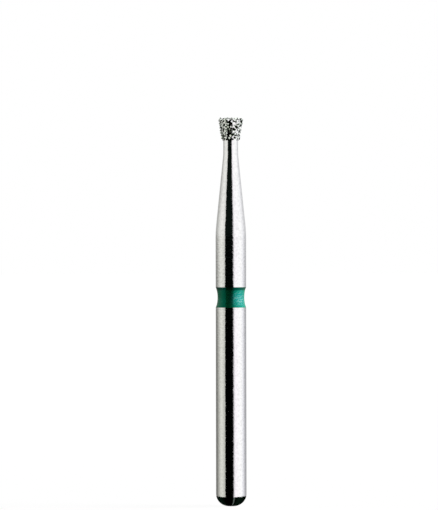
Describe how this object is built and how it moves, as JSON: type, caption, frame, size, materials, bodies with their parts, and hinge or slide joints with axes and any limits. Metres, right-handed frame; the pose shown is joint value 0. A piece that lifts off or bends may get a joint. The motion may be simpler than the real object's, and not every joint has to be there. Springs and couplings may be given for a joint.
{
  "type": "dental bur",
  "caption": "Friction-grip dental bur: round-ended steel shank, green colour ring, long taper to a thin neck, and a small inverted-cone head coated with diamond grit.",
  "frame": {"origin": "centre of the shank's rounded end, on the bur's axis", "axes": "+Z along the axis, from the shank's end towards the head; X and Y are any two square directions, because the bur is round"},
  "size_m": [0.0016, 0.0016, 0.0203],
  "materials": {
    "stainless_steel": "satin, finely ground",
    "green_lacquer": "glossy baked lacquer, scuffed",
    "nickel": "electroplated, dull",
    "diamond": "clear crystals with bright faces"
  },
  "bodies": {
    "root": {"shank": "stainless_steel", "colour_ring": "green_lacquer", "nickel_bond": "nickel", "diamond_grains": "diamond"}
  },
  "joints": []
}
